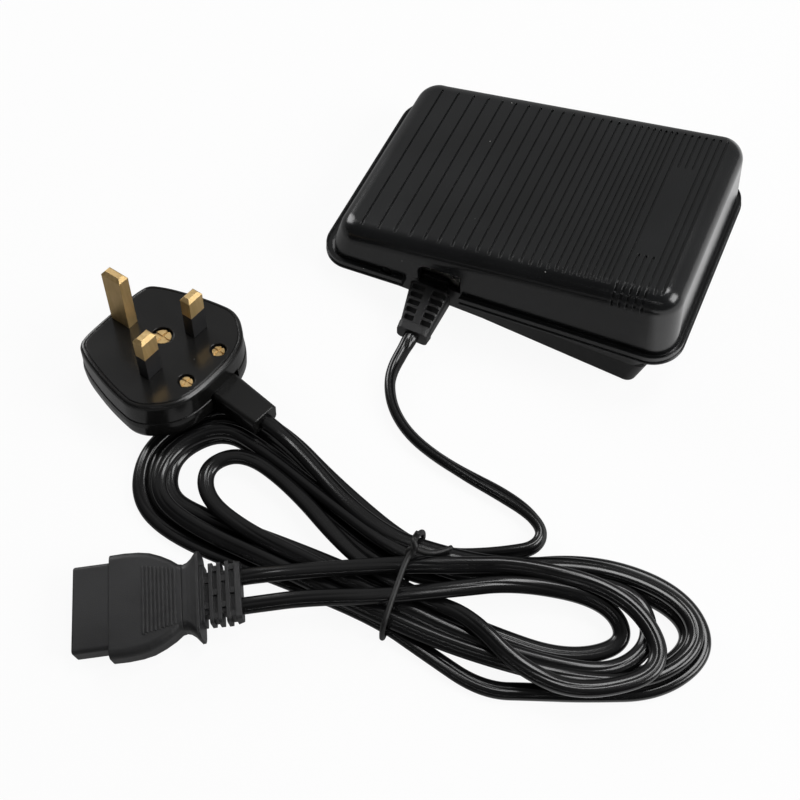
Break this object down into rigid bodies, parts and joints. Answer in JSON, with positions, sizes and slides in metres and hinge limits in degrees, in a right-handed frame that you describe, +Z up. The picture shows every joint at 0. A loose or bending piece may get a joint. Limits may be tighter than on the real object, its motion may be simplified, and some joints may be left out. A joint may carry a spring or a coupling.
{
  "type": "sewing machine pedal",
  "caption": "Wedge-shaped sewing machine foot pedal with a grooved rocking top cover, flat cord to a machine connector and a mains cord with a three-pin plug, wound and tied.",
  "frame": {"origin": "middle of the pedal's footprint on the floor, cords and plug left out", "axes": "+X from the heel to the tall toe end, +Y away from the side where the cord leaves, +Z up"},
  "size_m": [0.2248, 0.2489, 0.0481],
  "materials": {
    "cover_plastic": "satin",
    "base_plastic": "matte",
    "cord_plastic": "satin",
    "plug_plastic": "satin",
    "connector_plastic": "grained",
    "sleeve_plastic": "matte",
    "brass": "polished",
    "steel": "brushed",
    "aluminium": "satin",
    "rubber": "matte",
    "board_green": "matte",
    "film_yellow": "satin",
    "guide_white": "matte"
  },
  "bodies": {
    "base": {"base_tub": "base_plastic", "hinge_pin": "steel", "rubber_feet": "rubber", "strain_relief": "connector_plastic", "cord_clamp": "guide_white", "clamp_screws": "steel", "plunger_guide": "guide_white", "return_springs": "steel", "plunger_spring": "steel", "circuit_board": "board_green", "board_screws": "steel", "resistor_track": "board_green", "heat_sink": "aluminium", "triac": "base_plastic", "capacitor": "film_yellow", "choke": "brass", "inner_leads": "cord_plastic", "plug_base": "plug_plastic", "plug_cover": "plug_plastic", "earth_pin": "brass", "line_pin": "brass", "neutral_pin": "brass", "pin_sleeves": "sleeve_plastic", "plug_screws": "brass", "plug_sleeve": "plug_plastic", "plug_fuse": "guide_white", "fuse_clips": "brass", "plug_cord_grip": "base_plastic", "connector_body": "connector_plastic", "connector_insert": "connector_plastic", "connector_contacts": "brass", "connector_relief": "connector_plastic", "pedal_cord": "cord_plastic", "pedal_cord_hank": "cord_plastic", "mains_cord": "cord_plastic", "mains_cord_hank": "cord_plastic", "cord_tie": "cord_plastic"},
    "cover": {"top_cover": "cover_plastic"},
    "plunger_body": {"plunger": "guide_white", "wiper_contact": "brass"}
  },
  "joints": [
    {"name": "cover_hinge", "type": "hinge", "parent": "base", "child": "cover", "pos_m": [-0.0396, 0, 0.01184], "axis": [0, 1, 0], "range_deg": [0, 6.5], "stiffness_Nm_per_rad": 1.5, "deforming": ["return_springs"]},
    {"name": "plunger_slide", "type": "slide", "parent": "base", "child": "plunger_body", "axis": [0, 0, -1], "range_m": [0, 0.0082], "stiffness_N_per_m": 50, "deforming": ["plunger_spring"]}
  ],
  "couplings": [
    {"joint": "plunger_slide", "follows": "cover_hinge", "m_per_rad": 0.0696}
  ]
}
